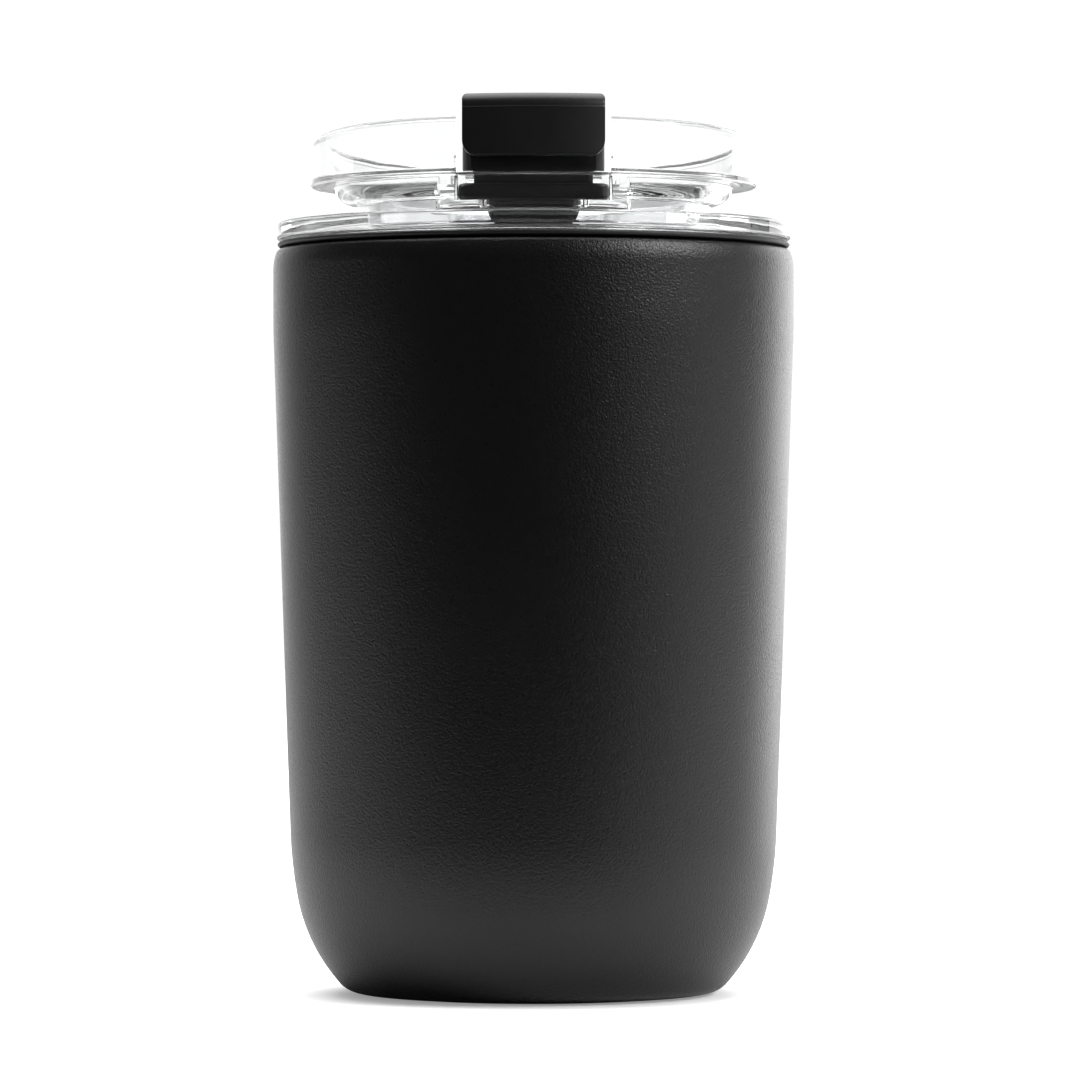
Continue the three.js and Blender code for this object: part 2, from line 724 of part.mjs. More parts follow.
addPiece('lid_base', lidBase(), CLEAR);
addPiece('lid_top', lidTop(), CLEAR);
addPiece('lid_seal', lidSeal(), SILICONE);
addPiece('flip_lever', flipLever(), BLACK_PLASTIC);
addPiece('hinge_pin', hingePin(), STEEL);
addPiece('sip_plug', sipPlug(), SILICONE);

export default mug;
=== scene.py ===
"""Looks of the insulated travel mug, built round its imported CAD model.

Metres, +Z up, the sip side faces -Y. Sizes of the object are in millimetres and go through MM.
"""

import json
import math

import bmesh
import bpy
from mathutils import Matrix, Vector


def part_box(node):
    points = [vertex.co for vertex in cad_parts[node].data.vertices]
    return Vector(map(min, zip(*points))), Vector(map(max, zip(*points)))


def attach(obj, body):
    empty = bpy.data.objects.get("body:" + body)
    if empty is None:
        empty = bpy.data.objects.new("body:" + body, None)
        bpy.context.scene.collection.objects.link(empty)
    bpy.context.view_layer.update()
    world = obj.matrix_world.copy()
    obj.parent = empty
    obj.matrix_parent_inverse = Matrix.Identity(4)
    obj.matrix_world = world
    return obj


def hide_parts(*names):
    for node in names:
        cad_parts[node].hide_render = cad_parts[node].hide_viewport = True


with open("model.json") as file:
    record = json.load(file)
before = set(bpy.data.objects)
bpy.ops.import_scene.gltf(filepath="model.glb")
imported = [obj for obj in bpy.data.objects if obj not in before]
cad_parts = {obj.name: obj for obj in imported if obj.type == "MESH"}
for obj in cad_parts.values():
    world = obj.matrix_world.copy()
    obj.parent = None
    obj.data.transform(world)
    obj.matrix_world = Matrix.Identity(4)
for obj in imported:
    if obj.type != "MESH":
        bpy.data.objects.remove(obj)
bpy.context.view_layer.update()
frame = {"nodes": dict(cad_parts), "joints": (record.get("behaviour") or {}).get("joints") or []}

MM = 0.001
SEGMENTS = 192  # round the large pieces
ON_AXIS = 1e-6


# ---------------------------------------------------------------- sizes


def top_mm(node):
    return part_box(node)[1].z / MM


def bottom_mm(node):
    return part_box(node)[0].z / MM


def radius_mm(node):
    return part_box(node)[1].x / MM


WALL = 0.6  # of the steel
GAP = 0.3  # between pieces that touch

# overall sizes, from the frame
CUP_TOP = top_mm("outer_shell")
CUP_FOOT = bottom_mm("outer_shell")
CUP_RADIUS = radius_mm("outer_shell")
LINER_RADIUS = radius_mm("inner_vessel")
LINER_BOTTOM = bottom_mm("inner_vessel")
PAN_RADIUS = radius_mm("base_cover")
PAD_RADIUS = radius_mm("base_pad")
PAD_TOP = top_mm("base_pad")
FLANGE_RADIUS = radius_mm("lid_base")
SKIRT_BOTTOM = bottom_mm("lid_base")
COLLAR_TOP = top_mm("lid_base")
SEAL_RADIUS = radius_mm("lid_seal")
SEAL_TOP = top_mm("lid_seal")
SEAL_BOTTOM = bottom_mm("lid_seal")
RING_RADIUS = radius_mm("lid_top")
RING_TOP = top_mm("lid_top")
SPIGOT_BOTTOM = bottom_mm("lid_top")
TAB_TOP = top_mm("flip_lever")
TAB_HALF = radius_mm("flip_lever")
TAB_RADIUS = -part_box("flip_lever")[0].y / MM
PIVOT = next(joint["pos_m"] for joint in frame["joints"] if joint["name"] == "lever_flip")
PIVOT_Y = PIVOT[1] / MM
PIVOT_Z = PIVOT[2] / MM

# lid
FLANGE_THICK = 2.8
FLANGE_BOTTOM = SEAL_TOP + GAP
FLANGE_TOP = FLANGE_BOTTOM + FLANGE_THICK
SKIRT_RADIUS = 35
LID_WALL = 1.6  # of the skirt and the spigot
COLLAR_OUTER = 28.4
COLLAR_INNER = 26.4
WELL_THICK = 1.8
RING_RAISE = 2.8  # foot of the ring above the well's underside
WELL_UNDERSIDE = COLLAR_TOP + GAP
WELL_FLOOR = WELL_UNDERSIDE + WELL_THICK
WELL_RADIUS = RING_RADIUS - 4
WELL_INNER = WELL_RADIUS - 2.1
RING_BOTTOM = WELL_UNDERSIDE + RING_RAISE
RING_INNER = RING_RADIUS - 2.6
RIM_DROP = 3.95  # the rim is this much lower at the back
LEDGE = 1.0  # thickness of the step between the well and the ring

# sip pocket
POCKET_RAISE = 1.9  # its floor above the flange
POCKET_FLOOR = FLANGE_TOP + POCKET_RAISE
POCKET_HALF = 11.9
POCKET_WALL = 2.5
POCKET_FRONT = WELL_RADIUS
POCKET_FRONT_WALL = 1.8
POCKET_BACK = -13.2
POCKET_BACK_WALL = 1.7
NOTCH_SILL = 0.5  # height of the ring's foot left under the notch
SIP_Y = -20.5
SIP_HALF = 7.5
SIP_ROUND = 2.8
VENT_Y = -15.4
VENT_RADIUS = 0.8

# lever
PIN_RADIUS = 1
BORE_RADIUS = PIN_RADIUS + GAP
LUG_RADIUS = 2.9
LUG_THICK = 2.4
BARREL_RADIUS = 2.7
BARREL_HALF = 7.9
RAMP_FROM = -24.5  # the top slopes down to the barrel from here
PLATE = 2.1
TAB_THICK = 1.8
TAB_BOTTOM = 130.8
TAB_CORNER_LOW = 2.5
TAB_CORNER_HIGH = 0.9
PARTING_DEPTH = 2.2  # of the parting line below the top
PARTING_STEP = 0.06
BOSS_FRONT = -27.5
BOSS_BACK = -13.5
BOSS_MIDDLE = (BOSS_FRONT + BOSS_BACK) / 2
BOSS_HALF = (BOSS_BACK - BOSS_FRONT) / 2
BOSS_BOTTOM = 128.9
BOSS_RISE = 1.1  # the underside rises this much to the back
BOSS_WALL = 1.6
BOSS_CORNER = 1.5
NECK_CORNER = 0.8
STUD_HALF_X = 4  # peg on the lever that holds the stopper
STUD_HALF_Y = 1.6
STUD_BOTTOM = 129.4
WEB_HALF = 1.2  # rib between the boss and the barrel
WEB_HALF_HEIGHT = 1
WEB_SUNK = 0.5  # its end inside the boss's wall

# stopper
NECK_TOP = 131.6
STOPPER_TOP = 127.1  # of its flange
TIP_DEPTH = 3.2  # below the pocket's floor


# ---------------------------------------------------------------- mesh helpers


def arc(centre_r, centre_z, radius, start, end, steps):
    """Points of an arc, angles in degrees from the first axis."""
    points = []
    for i in range(steps + 1):
        angle = math.radians(start + (end - start) * i / steps)
        points.append((centre_r + radius * math.cos(angle), centre_z + radius * math.sin(angle)))
    return points


def filleted(corners, closed=True, steps=5):
    """A path through corners given as (a, b) or (a, b, fillet radius), with its fillets as arcs."""
    points = []
    count = len(corners)
    for i, corner in enumerate(corners):
        here = Vector(corner[:2])
        fillet = corner[2] if len(corner) > 2 else 0
        inner = closed or 0 < i < count - 1
        if not fillet or not inner:
            points.append(tuple(here))
            continue
        back = (Vector(corners[i - 1][:2]) - here).normalized()
        ahead = (Vector(corners[(i + 1) % count][:2]) - here).normalized()
        half = back.angle(ahead) / 2
        centre = here + (back + ahead).normalized() * (fillet / math.sin(half))
        reach = fillet / math.tan(half)
        first = here + back * reach - centre
        last = here + ahead * reach - centre
        turn = first.angle_signed(last)
        for k in range(steps + 1):
            step = first.copy()
            step.rotate(Matrix.Rotation(-turn * k / steps, 2))
            points.append(tuple(centre + step))
    return points


def arc_chain(start, arcs):
    """Arcs that run into one another, given by radius and the directions their normals turn through."""
    points = [start]
    for radius, begin, end, steps in arcs:
        r, z = points[-1]
        angle = math.radians(begin)
        centre = (r - radius * math.cos(angle), z - radius * math.sin(angle))
        points += arc(*centre, radius, begin, end, steps)[1:]
    return points


def sheet(path, thickness):
    """The closed outline of a sheet that lies to the left of an open path."""
    normals = []
    for a, b in zip(path, path[1:]):
        along = (Vector(b) - Vector(a)).normalized()
        normals.append(Vector((-along.y, along.x)))
    other = []
    for i, point in enumerate(path):
        before = normals[max(i - 1, 0)]
        after = normals[min(i, len(normals) - 1)]
        shift = (before + after) * (thickness / (1 + before.dot(after)))
        other.append(tuple(Vector(point) + shift))
    return list(path) + other[::-1]


def new_object(name, bm):
    bmesh.ops.recalc_face_normals(bm, faces=bm.faces)
    mesh = bpy.data.meshes.new(name)
    bm.to_mesh(mesh)
    bm.free()
    piece = bpy.data.objects.new(name, mesh)
    bpy.context.scene.collection.objects.link(piece)
    return piece


def revolve(name, outline, segments=SEGMENTS):
    """Turns an outline in (radius, height) about Z. Points with no radius close it on the axis."""
    bm = bmesh.new()
    rings = []
    for r, z in outline:
        if r < ON_AXIS:
            rings.append([bm.verts.new((0, 0, z * MM))] * segments)
            continue
        ring = []
        for i in range(segments):
            angle = 2 * math.pi * i / segments
            ring.append(bm.verts.new((r * MM * math.cos(angle), r * MM * math.sin(angle), z * MM)))
        rings.append(ring)
    if outline[0][0] > ON_AXIS:
        rings.append(rings[0])
    for low, high in zip(rings, rings[1:]):
        for i in range(segments):
            j = (i + 1) % segments
            corners = [low[i], low[j], high[j], high[i]]
            face = list(dict.fromkeys(corners))
            if len(face) > 2:
                bm.faces.new(face)
    return new_object(name, bm)


AXES = {
    "X": Matrix(((0, 0, 1), (1, 0, 0), (0, 1, 0))),
    "Y": Matrix(((1, 0, 0), (0, 0, 1), (0, 1, 0))),
    "Z": Matrix.Identity(3),
}


def prism(name, outline, low, high, axis="Z", edge=0.0):
    """Extrudes an outline along an axis. edge rounds the rims of both ends."""
    bm = bmesh.new()
    turn = AXES[axis]
    ends = []
    for level in (low, high):
        ends.append([bm.verts.new(turn @ Vector((a, b, level)) * MM) for a, b in outline])
    caps = [bm.faces.new(ends[0]), bm.faces.new(ends[1])]
    count = len(outline)
    for i in range(count):
        j = (i + 1) % count
        bm.faces.new((ends[0][i], ends[0][j], ends[1][j], ends[1][i]))
    if edge:
        rims = [e for cap in caps for e in cap.edges]
        bmesh.ops.bevel(bm, geom=rims, offset=edge * MM, segments=3, profile=0.5, affect="EDGES")
    return new_object(name, bm)


def rounded_rectangle(half_a, half_b, radius, centre_b=0.0):
    corners = [(half_a, half_b), (-half_a, half_b), (-half_a, -half_b), (half_a, -half_b)]
    return filleted([(a, b + centre_b, radius) for a, b in corners], steps=6)


def loft(name, sections):
    """Joins rounded rectangles (height, half x, half y, corner radius, centre y) into one skin."""
    bm = bmesh.new()
    rings = []
    for height, half_x, half_y, radius, centre_y in sections:
        outline = rounded_rectangle(half_x, half_y, radius, centre_y)
        rings.append([bm.verts.new(Vector((x, y, height)) * MM) for x, y in outline])
    bm.faces.new(rings[0])
    bm.faces.new(rings[-1])
    for low, high in zip(rings, rings[1:]):
        count = len(low)
        for i in range(count):
            j = (i + 1) % count
            bm.faces.new((low[i], low[j], high[j], high[i]))
    return new_object(name, bm)


def applied(piece):
    """Bakes a piece's modifiers into its mesh."""
    graph = bpy.context.evaluated_depsgraph_get()
    mesh = bpy.data.meshes.new_from_object(piece.evaluated_get(graph))
    piece.modifiers.clear()
    old = piece.data
    piece.data = mesh
    bpy.data.meshes.remove(old)
    return piece


def combine(piece, tool, operation):
    """Joins a tool to a piece, cuts it from it or keeps what they share, and removes the tool."""
    modifier = piece.modifiers.new("combine", "BOOLEAN")
    modifier.operation = operation
    modifier.solver = "EXACT"
    modifier.object = tool
    applied(piece)
    bpy.data.objects.remove(tool)
    return piece


WELD_DISTANCE = 0.004  # millimetres: closer vertices become one
FLAT_ANGLE = 0.3  # degrees: faces within this become one
SHARP_ANGLE = 50  # degrees: sharper edges are rounded


def softened(piece, width, segments=2):
    """Rounds the sharp edges that are left after cuts."""
    bm = bmesh.new()
    bm.from_mesh(piece.data)
    bmesh.ops.remove_doubles(bm, verts=bm.verts, dist=WELD_DISTANCE * MM)
    flat = math.radians(FLAT_ANGLE)
    bmesh.ops.dissolve_limit(bm, angle_limit=flat, verts=bm.verts, edges=bm.edges)
    bm.to_mesh(piece.data)
    bm.free()
    modifier = piece.modifiers.new("soften", "BEVEL")
    modifier.width = width * MM
    modifier.segments = segments
    modifier.limit_method = "ANGLE"
    modifier.angle_limit = math.radians(SHARP_ANGLE)
    modifier.use_clamp_overlap = True
    modifier.harden_normals = False
    return applied(piece)


def smooth(piece, angle):
    """Shades rounds smoothly and keeps flat faces flat, so clear pieces don't act as lenses."""
    piece.data.shade_smooth()
    piece.data.set_sharp_from_angle(angle=math.radians(angle))
    modifier = piece.modifiers.new("weigh", "WEIGHTED_NORMAL")
    modifier.mode = "FACE_AREA"
    modifier.weight = 50
    modifier.keep_sharp = True
    return applied(piece)


# ---------------------------------------------------------------- material helpers


NOISE_LOW = 0.3  # most values of a noise lie between these
NOISE_HIGH = 0.7


class Paint:
    """A Principled material and the nodes that drive it, on object coordinates."""

    def __init__(self, name):
        self.material = bpy.data.materials.new(name)
        self.material.use_nodes = True
        self.nodes = self.material.node_tree.nodes
        self.links = self.material.node_tree.links
        self.surface = self.nodes["Principled BSDF"]
        self.place = self.nodes.new("ShaderNodeTexCoord").outputs["Object"]

    def set(self, **values):
        for name, value in values.items():
            self.surface.inputs[name.replace("_", " ")].default_value = value

    def link(self, source, target):
        self.links.new(source, self.surface.inputs[target] if isinstance(target, str) else target)

    def noise(self, size_mm, detail=2.0, rough=0.5, vector=None):
        """Noise whose features are about size_mm across."""
        node = self.nodes.new("ShaderNodeTexNoise")
        node.inputs["Scale"].default_value = 1 / (size_mm * MM)
        node.inputs["Detail"].default_value = detail
        node.inputs["Roughness"].default_value = rough
        self.links.new(vector or self.place, node.inputs["Vector"])
        return node.outputs["Fac"]

    def ramp(self, source, low, high):
        """Maps a noise to low..high."""
        node = self.nodes.new("ShaderNodeMapRange")
        node.inputs["From Min"].default_value = NOISE_LOW
        node.inputs["From Max"].default_value = NOISE_HIGH
        node.inputs["To Min"].default_value = low
        node.inputs["To Max"].default_value = high
        self.links.new(source, node.inputs["Value"])
        return node.outputs["Result"]

    def shade(self, source, dark, light):
        """Maps a noise to a colour between two others."""
        node = self.nodes.new("ShaderNodeValToRGB")
        node.color_ramp.elements[0].position = NOISE_LOW
        node.color_ramp.elements[0].color = (*dark, 1)
        node.color_ramp.elements[1].position = NOISE_HIGH
        node.color_ramp.elements[1].color = (*light, 1)
        self.links.new(source, node.inputs["Fac"])
        return node.outputs["Color"]

    def bump(self, height, depth_mm, under=None):
        node = self.nodes.new("ShaderNodeBump")
        node.inputs["Strength"].default_value = 1.0
        node.inputs["Distance"].default_value = depth_mm * MM
        self.links.new(height, node.inputs["Height"])
        if under:
            self.links.new(under, node.inputs["Normal"])
        return node.outputs["Normal"]

    def turned(self, fine_mm, along_mm):
        """Coordinates that run round the axis, fine across the turning marks and long along them."""
        split = self.nodes.new("ShaderNodeSeparateXYZ")
        self.links.new(self.place, split.inputs[0])
        flat = self.nodes.new("ShaderNodeVectorMath")
        flat.operation = "MULTIPLY"
        flat.inputs[1].default_value = (1, 1, 0)
        self.links.new(self.place, flat.inputs[0])
        radius = self.nodes.new("ShaderNodeVectorMath")
        radius.operation = "LENGTH"
        self.links.new(flat.outputs[0], radius.inputs[0])
        join = self.nodes.new("ShaderNodeCombineXYZ")
        direction = self.nodes.new("ShaderNodeVectorMath")
        direction.operation = "NORMALIZE"
        self.links.new(flat.outputs[0], direction.inputs[0])
        part = self.nodes.new("ShaderNodeSeparateXYZ")
        self.links.new(direction.outputs[0], part.inputs[0])
        height = self.nodes.new("ShaderNodeMath")
        height.operation = "ADD"
        self.links.new(radius.outputs["Value"], height.inputs[0])
        self.links.new(split.outputs["Z"], height.inputs[1])
        for source, axis, size in (
            (part.outputs["X"], "X", along_mm),
            (part.outputs["Y"], "Y", along_mm),
            (height.outputs[0], "Z", fine_mm),
        ):
            scale = self.nodes.new("ShaderNodeMath")
            scale.operation = "MULTIPLY"
            unit = LINER_RADIUS if axis != "Z" else 1 / MM
            scale.inputs[1].default_value = unit / size
            self.links.new(source, scale.inputs[0])
            self.links.new(scale.outputs[0], join.inputs[axis])
        return join.outputs[0]


# ---------------------------------------------------------------- materials


def powder_coat():
    """Near-black satin powder paint: a leathery grain, fine orange peel and faint mottling."""
    paint = Paint("powder_coat")
    mottle = paint.noise(14, detail=3)
    grain = paint.noise(0.37, detail=3, rough=0.55)
    fine = paint.noise(0.2, detail=1)
    paint.link(paint.shade(mottle, (0.0015, 0.0015, 0.0016), (0.003, 0.003, 0.0032)), "Base Color")
    paint.link(paint.ramp(grain, 0.27, 0.37), "Roughness")
    normal = paint.bump(grain, 0.1)
    paint.link(paint.bump(fine, 0.01, under=normal), "Normal")
    return paint.material


def brushed_steel():
    """Stainless steel with fine marks that run round the axis."""
    paint = Paint("brushed_steel")
    marks = paint.noise(1, detail=4, rough=0.7, vector=paint.turned(0.12, 9))
    cloud = paint.noise(11, detail=3)
    paint.set(Metallic=1.0)
    paint.link(paint.shade(cloud, (0.6, 0.595, 0.59), (0.7, 0.695, 0.69)), "Base Color")
    paint.link(paint.ramp(marks, 0.2, 0.36), "Roughness")
    paint.link(paint.bump(marks, 0.006), "Normal")
    return paint.material


def clear_plastic():
    """Clear moulded copolyester, with the faint flow waves of moulding."""
    paint = Paint("clear_plastic")
    waves = paint.noise(7, detail=1)
    paint.set(Roughness=0.02, IOR=1.54, Transmission_Weight=1.0)
    paint.link(paint.shade(waves, (0.982, 0.99, 0.992), (0.99, 0.995, 0.998)), "Base Color")
    paint.link(paint.bump(waves, 0.02), "Normal")
    return paint.material


def black_plastic():
    """Satin black moulding with a fine spark-eroded texture."""
    paint = Paint("black_plastic")
    grain = paint.noise(0.16, detail=2, rough=0.6)
    cloud = paint.noise(5, detail=3)
    paint.link(paint.shade(cloud, (0.007, 0.007, 0.0075), (0.011, 0.011, 0.0115)), "Base Color")
    paint.link(paint.ramp(grain, 0.3, 0.44), "Roughness")
    paint.link(paint.bump(grain, 0.006), "Normal")
    return paint.material


def silicone():
    """Matt black silicone rubber with a soft bloom."""
    paint = Paint("silicone")
    grain = paint.noise(0.3, detail=3, rough=0.6)
    bloom = paint.noise(4, detail=4)
    paint.set(Sheen_Weight=0.03, Sheen_Roughness=0.5)
    paint.link(paint.shade(bloom, (0.003, 0.003, 0.0032), (0.007, 0.007, 0.0073)), "Base Color")
    paint.link(paint.ramp(grain, 0.45, 0.6), "Roughness")
    paint.link(paint.bump(grain, 0.01), "Normal")
    return paint.material


def copper_foil():
    """Copper foil with the fine creases of wrapping."""
    paint = Paint("copper_foil")
    creases = paint.noise(2.5, detail=5, rough=0.65)
    paint.set(Metallic=1.0)
    paint.link(paint.shade(creases, (0.62, 0.27, 0.15), (0.8, 0.4, 0.24)), "Base Color")
    paint.link(paint.ramp(creases, 0.2, 0.38), "Roughness")
    paint.link(paint.bump(creases, 0.12), "Normal")
    return paint.material


def solder_glass():
    """Dark glossy bead of solder glass."""
    paint = Paint("solder_glass")
    flow = paint.noise(0.9, detail=3)
    paint.link(paint.shade(flow, (0.03, 0.03, 0.034), (0.075, 0.078, 0.085)), "Base Color")
    paint.link(paint.ramp(flow, 0.08, 0.2), "Roughness")
    paint.link(paint.bump(flow, 0.04), "Normal")
    return paint.material


def getter_grey():
    """Porous sintered metal."""
    paint = Paint("getter_grey")
    pores = paint.noise(0.2, detail=4, rough=0.7)
    paint.set(Metallic=0.6)
    paint.link(paint.shade(pores, (0.06, 0.058, 0.055), (0.24, 0.235, 0.23)), "Base Color")
    paint.link(paint.ramp(pores, 0.6, 0.85), "Roughness")
    paint.link(paint.bump(pores, 0.05), "Normal")
    return paint.material


POWDER = powder_coat()
STEEL = brushed_steel()
CLEAR = clear_plastic()
BLACK = black_plastic()
RUBBER = silicone()
COPPER = copper_foil()
SOLDER = solder_glass()
GETTER = getter_grey()


def place(piece, body, node, material):
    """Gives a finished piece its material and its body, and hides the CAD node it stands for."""
    piece.data.materials.clear()
    piece.data.materials.append(material)
    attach(piece, body)
    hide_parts(node)


# ---------------------------------------------------------------- cup


def outer_shell():
    """Tapered steel wall: a wide round foot, a soft shoulder and a small round at the rim."""
    foot_flat = 27.6
    foot_arcs = [(4.3, -90, -42, 10), (28, -42, -10.5, 16), (70, -10.5, -2, 6)]
    foot = arc_chain((foot_flat, CUP_FOOT), foot_arcs)
    shoulder_arcs = [(8, 0, 19, 8), (1, 19, 90, 8)]
    rise = arc_chain((0, 0), shoulder_arcs)[-1][1]
    path = [(PAN_RADIUS + GAP, CUP_FOOT)] + foot
    path += [(CUP_RADIUS - 0.05, 104), (CUP_RADIUS - 0.01, 106), (CUP_RADIUS, 108)]  # easing upright
    path += arc_chain((CUP_RADIUS, CUP_TOP - rise), shoulder_arcs)
    path += [(LINER_RADIUS + GAP, CUP_TOP)]
    return smooth(revolve("shell", sheet(path, WALL)), 50)


def inner_vessel():
    """Steel liner, with a rounded lip, a wide round at the bottom and a shallow dome in its floor."""
    corner = 15
    foot = LINER_RADIUS - 2.6
    rises = [(0, 0.6), (6, 0.55), (10, 0.25), (13, 0)]  # of the dome, by radius
    outside = [(radius, LINER_BOTTOM + rise) for radius, rise in rises]
    outside += arc(foot - corner, LINER_BOTTOM + corner, corner, -90, 0, 14)
    lip_centre = CUP_TOP - WALL / 2
    outside += [(LINER_RADIUS - 0.03, 102.5), (LINER_RADIUS, 105.5), (LINER_RADIUS, lip_centre)]
    outline = sheet(outside, WALL)
    lip = len(outside)
    outline[lip:lip + 1] = arc(LINER_RADIUS - WALL / 2, lip_centre, WALL / 2, 0, 180, 6)[1:]
    outline[-1] = (0, outline[-1][1])
    return smooth(revolve("liner", outline), 50)


def base_cover():
    """Shallow coated pan with its rim turned down round the pad."""
    low = PAD_TOP + GAP
    rim = PAN_RADIUS - WALL
    corners = [
        (0, low),
        (rim, low),
        (rim, CUP_FOOT + GAP, 0.15),
        (PAN_RADIUS, CUP_FOOT + GAP, 0.15),
        (PAN_RADIUS, low + WALL, 0.4),
        (0, low + WALL),
    ]
    return smooth(revolve("bottom_pan", filleted(corners, closed=False, steps=3)), 50)


def base_pad():
    """Non-slip pad: a rounded edge and shallow rings pressed into its underside."""
    groove_half = 0.5
    floor_half = 0.3
    groove_deep = 0.35
    corners = [(0, 0)]
    for radius in (9, 14, 19):
        corners += [
            (radius - groove_half, 0, 0.15),
            (radius - floor_half, groove_deep, 0.1),
            (radius + floor_half, groove_deep, 0.1),
            (radius + groove_half, 0, 0.15),
        ]
    corners += [(PAD_RADIUS, 0, 0.5), (PAD_RADIUS, PAD_TOP, 0.15), (0, PAD_TOP)]
    return smooth(revolve("non_slip_pad", filleted(corners, closed=False, steps=3)), 50)


place(outer_shell(), "cup", "outer_shell", POWDER)
place(inner_vessel(), "cup", "inner_vessel", STEEL)
place(base_cover(), "cup", "base_cover", POWDER)
place(base_pad(), "cup", "base_pad", RUBBER)

for node, material in (
    ("foil_shield", COPPER),
    ("vacuum_bottom", STEEL),
    ("solder_bead", SOLDER),
    ("getter_clip", STEEL),
    ("getter_pellet", GETTER),
):
    hidden = frame["nodes"][node]
    hidden.data.materials.clear()
    hidden.data.materials.append(material)


# ---------------------------------------------------------------- lid


def lid_base():
    """Clear flange, skirt and collar, with the collar open at the front for the sip pocket."""
    skirt_inner = SKIRT_RADIUS - LID_WALL
    lip = SKIRT_RADIUS + 1.2
    lip_top = SKIRT_BOTTOM + 0.7
    recess = 0.4  # inside the skirt the flange is thinner by this
    ceiling = FLANGE_BOTTOM + recess
    corners = [
        (skirt_inner, SKIRT_BOTTOM, 0.4),
        (lip, SKIRT_BOTTOM, 0.3),
        (lip, lip_top, 0.2),
        (SKIRT_RADIUS, lip_top),
        (SKIRT_RADIUS, FLANGE_BOTTOM, 0.2),
        (FLANGE_RADIUS, FLANGE_BOTTOM, 0.5),
        (FLANGE_RADIUS, FLANGE_TOP, 0.5),
        (COLLAR_OUTER, FLANGE_TOP, 0.3),
        (COLLAR_OUTER, COLLAR_TOP, 0.3),
        (COLLAR_INNER, COLLAR_TOP, 0.2),
        (COLLAR_INNER, ceiling, 0.5),
        (skirt_inner, ceiling, 0.8),
    ]
    piece = revolve("lid_flange", filleted(corners, steps=4))
    half = POCKET_HALF + POCKET_WALL + GAP
    front = -COLLAR_OUTER - 1
    way = [(-half, front), (half, front), (half, POCKET_BACK), (-half, POCKET_BACK)]
    cut = prism("way", way, FLANGE_TOP, COLLAR_TOP + 1)
    return smooth(combine(piece, cut, "DIFFERENCE"), 40)


def lid_seal():
    """Black ring under the flange, with a sleeve on the skirt and ribs that wipe the mouth."""
    inner = SKIRT_RADIUS + GAP
    sleeve = inner + 1.1
    tip = LINER_RADIUS - WALL - GAP
    band = CUP_TOP + GAP
    rib_half = 0.55
    corners = [(inner, SEAL_BOTTOM, 0.2), (sleeve, SEAL_BOTTOM, 0.3)]
    for height in (110.4, 113, 115.6):
        corners += [
            (sleeve, height - rib_half, 0.1),
            (tip, height, 0.12),
            (sleeve, height + rib_half, 0.1),
        ]
    corners += [
        (sleeve, band, 0.3),
        (SEAL_RADIUS, band, 0.45),
        (SEAL_RADIUS, SEAL_TOP, 0.45),
        (inner, SEAL_TOP, 0.2),
    ]
    return smooth(revolve("seal_ring", filleted(corners, steps=4)), 50)


def front_sector(half, radius, back, corner):
    """Plan of the sip pocket: a straight back and sides, closed by an arc about the lid's axis."""
    side = math.degrees(math.asin(half / radius))
    room = 3  # degrees of the arc given up to each corner
    front = arc(0, 0, radius, -90 - side + room, -90 + side - room, 12)
    front_y = -radius * math.cos(math.radians(side))
    corners = [(half, front_y, corner), (half, back), (-half, back), (-half, front_y, corner)]
    return filleted(corners + front, steps=4)


def well_and_ring():
    """Outline of the drinking ring, well and spigot."""
    spigot = COLLAR_INNER - GAP
    spigot_inner = spigot - LID_WALL
    step = RING_BOTTOM + LEDGE
    return filleted(
        [
            (0, WELL_UNDERSIDE),
            (spigot_inner, WELL_UNDERSIDE, 0.4),
            (spigot_inner, SPIGOT_BOTTOM, 0.2),
            (spigot, SPIGOT_BOTTOM, 0.3),
            (spigot, WELL_UNDERSIDE, 0.2),
            (WELL_RADIUS, WELL_UNDERSIDE, 2.6),
            (WELL_RADIUS, RING_BOTTOM, 0.2),
            (RING_RADIUS, RING_BOTTOM, 0.4),
            (RING_RADIUS, RING_TOP, 1.2),
            (RING_INNER, RING_TOP, 0.6),
            (RING_INNER, step, 0.3),
            (WELL_INNER, step, 0.3),
            (WELL_INNER, WELL_FLOOR, 1.6),
            (0, WELL_FLOOR),
        ],
        closed=False,
        steps=6,
    )


def pin_bore(low, high):
    return prism("bore", arc(PIVOT_Y, PIVOT_Z, BORE_RADIUS, 0, 350, 35), low, high, "X")


def hinge_lug(low, high):
    """Rounded plate that stands on the well's floor, with the hole for the pin."""
    foot = WELL_FLOOR - 0.5
    foot_half = LUG_RADIUS + 0.6
    outline = [(PIVOT_Y - foot_half, foot), (PIVOT_Y + foot_half, foot)]
    outline += arc(PIVOT_Y, PIVOT_Z, LUG_RADIUS, 0, 180, 24)
    lug = prism("lug", outline, low, high, "X", edge=0.3)
    return combine(lug, pin_bore(low - 1, high + 1), "DIFFERENCE")


def pocket_block():
    """Body of the sip pocket, with its lower front edge rounded."""
    radius = POCKET_FRONT + POCKET_FRONT_WALL
    low = FLANGE_TOP + GAP
    high = RING_BOTTOM + 0.2  # just inside the ring
    corners = [(0, low), (radius, low, 0.9), (radius, high), (0, high)]
    drum = revolve("block", filleted(corners, closed=False, steps=5))
    back = POCKET_BACK + POCKET_BACK_WALL
    plan = front_sector(POCKET_HALF + POCKET_WALL, radius + 1, back, 0.8)
    return combine(drum, prism("plan", plan, low - 1, RING_TOP), "INTERSECT")


